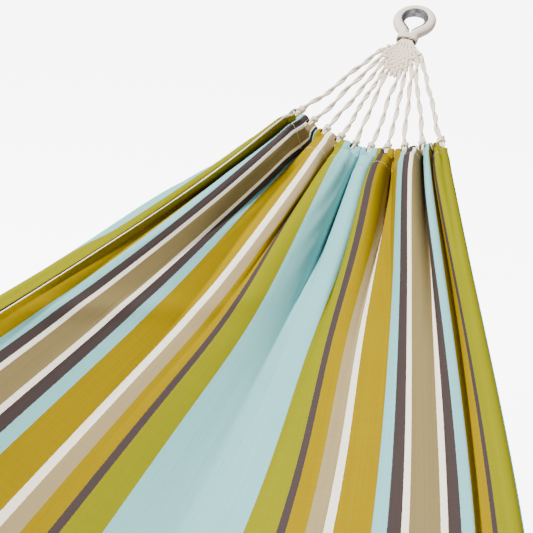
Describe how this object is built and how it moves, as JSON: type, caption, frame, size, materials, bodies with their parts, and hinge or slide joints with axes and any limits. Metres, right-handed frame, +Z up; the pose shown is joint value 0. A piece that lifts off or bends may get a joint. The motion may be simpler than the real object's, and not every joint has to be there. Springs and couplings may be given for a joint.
{
  "type": "fabric hammock",
  "caption": "Striped cotton fabric hammock gathered at each end on a fan of cords, a plaited clew and a rope eye with a steel thimble.",
  "frame": {"origin": "the seat of the head hook, on the inner face of the head thimble at the end of the eye", "axes": "+X runs along the hammock from the foot hook to the head hook, +Y to the left of a person who lies with the head at the head end, +Z up"},
  "size_m": [2.9136, 0.952, 0.552],
  "materials": {
    "striped_cloth": "matte",
    "cotton_cord": "matte",
    "cotton_twine": "matte",
    "served_rope": "matte",
    "thimble_steel": "satin"
  },
  "bodies": {
    "hangers": {"head_thimble": "thimble_steel", "head_eye_rope": "served_rope", "head_whipping": "cotton_twine", "foot_thimble": "thimble_steel", "foot_eye_rope": "served_rope", "foot_whipping": "cotton_twine"},
    "hammock": {"head_clew": "cotton_cord", "head_cord_01": "cotton_cord", "head_cord_02": "cotton_cord", "head_cord_03": "cotton_cord", "head_cord_04": "cotton_cord", "head_cord_05": "cotton_cord", "head_cord_06": "cotton_cord", "head_cord_07": "cotton_cord", "head_cord_08": "cotton_cord", "head_cord_09": "cotton_cord", "head_cord_10": "cotton_cord", "head_hem_rope": "cotton_cord", "head_hem": "striped_cloth", "foot_clew": "cotton_cord", "foot_cord_01": "cotton_cord", "foot_cord_02": "cotton_cord", "foot_cord_03": "cotton_cord", "foot_cord_04": "cotton_cord", "foot_cord_05": "cotton_cord", "foot_cord_06": "cotton_cord", "foot_cord_07": "cotton_cord", "foot_cord_08": "cotton_cord", "foot_cord_09": "cotton_cord", "foot_cord_10": "cotton_cord", "foot_hem_rope": "cotton_cord", "foot_hem": "striped_cloth", "bed_cloth": "striped_cloth", "left_selvage": "striped_cloth", "right_selvage": "striped_cloth"}
  },
  "joints": [
    {"name": "swing", "type": "hinge", "parent": "hangers", "child": "hammock", "pos_m": [-0.08833, 0, -0.051], "axis": [1, 0, 0], "range_deg": [-35, 35]}
  ]
}
